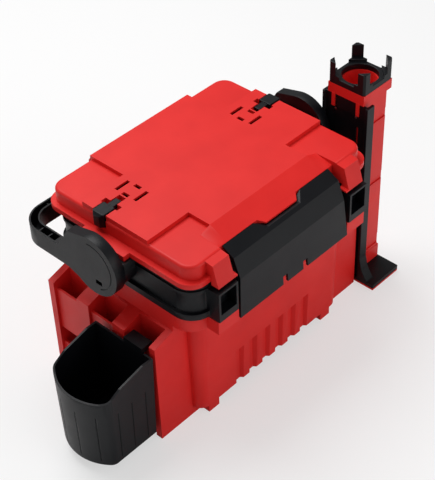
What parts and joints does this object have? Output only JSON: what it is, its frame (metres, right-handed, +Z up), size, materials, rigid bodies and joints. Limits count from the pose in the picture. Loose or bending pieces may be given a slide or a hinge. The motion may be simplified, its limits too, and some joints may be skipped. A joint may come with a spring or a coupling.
{
  "type": "fishing seat box",
  "caption": "Seat box for fishing with a hinged tray and lid, front latch, swinging carry handle, cup holder and rod stand.",
  "frame": {"origin": "bottom centre of the part's bounding box; the feet stand on this plane, and the tub's middle lies 16.89 mm to +X and 6.3 mm to +Y of it", "axes": "+Z up, -Y to the front with the latch, +X to the side with the rod stand"},
  "size_m": [0.5254, 0.2736, 0.33],
  "materials": {
    "red_plastic": "semi-matt moulded",
    "black_plastic": "semi-matt moulded",
    "steel": "plain"
  },
  "bodies": {
    "tub": {"body_tub": "red_plastic", "latch_pin": "steel", "tray_hinge_pins": "steel"},
    "middle_tray": {"tray": "black_plastic", "tray_dividers": "black_plastic", "lid_hinge_pins": "steel", "handle_pivot_left": "black_plastic", "handle_pivot_right": "black_plastic", "handle_washer_left": "black_plastic", "handle_washer_right": "black_plastic"},
    "seat_lid": {"lid": "red_plastic"},
    "latch": {"front_latch": "black_plastic"},
    "handle": {"carry_handle": "black_plastic"},
    "stop_left": {"handle_stop_left": "black_plastic"},
    "stop_right": {"handle_stop_right": "black_plastic"},
    "cup": {"cup_holder": "black_plastic"},
    "rod_stand": {"rod_tube": "red_plastic", "rod_crown": "black_plastic", "rod_bracket": "black_plastic", "bracket_sole": "red_plastic", "bracket_screws": "steel"}
  },
  "joints": [
    {"name": "tray_hinge", "type": "hinge", "parent": "tub", "child": "middle_tray", "pos_m": [0.01689, 0.1155, 0.186], "axis": [-1, 0, 0], "range_deg": [0, 90]},
    {"name": "lid_hinge", "type": "hinge", "parent": "middle_tray", "child": "seat_lid", "pos_m": [0.01689, 0.1155, 0.235], "axis": [-1, 0, 0], "range_deg": [0, 90]},
    {"name": "latch_hinge", "type": "hinge", "parent": "tub", "child": "latch", "pos_m": [0.01689, -0.1309, 0.178], "axis": [1, 0, 0], "range_deg": [0, 110]},
    {"name": "handle_swing", "type": "hinge", "parent": "middle_tray", "child": "handle", "pos_m": [0.01689, 0.0063, 0.228], "axis": [1, 0, 0], "range_deg": [0, 95]},
    {"name": "stop_left_slide", "type": "slide", "parent": "seat_lid", "child": "stop_left", "axis": [-1, 0, 0], "range_m": [0, 0.008]},
    {"name": "stop_right_slide", "type": "slide", "parent": "seat_lid", "child": "stop_right", "axis": [1, 0, 0], "range_m": [0, 0.008]},
    {"name": "cup_lift", "type": "slide", "parent": "tub", "child": "cup", "axis": [0, 0, 1], "range_m": [0, 0.05]},
    {"name": "rod_stand_lift", "type": "slide", "parent": "tub", "child": "rod_stand", "axis": [0, 0, 1], "range_m": [0, 0.05]}
  ]
}
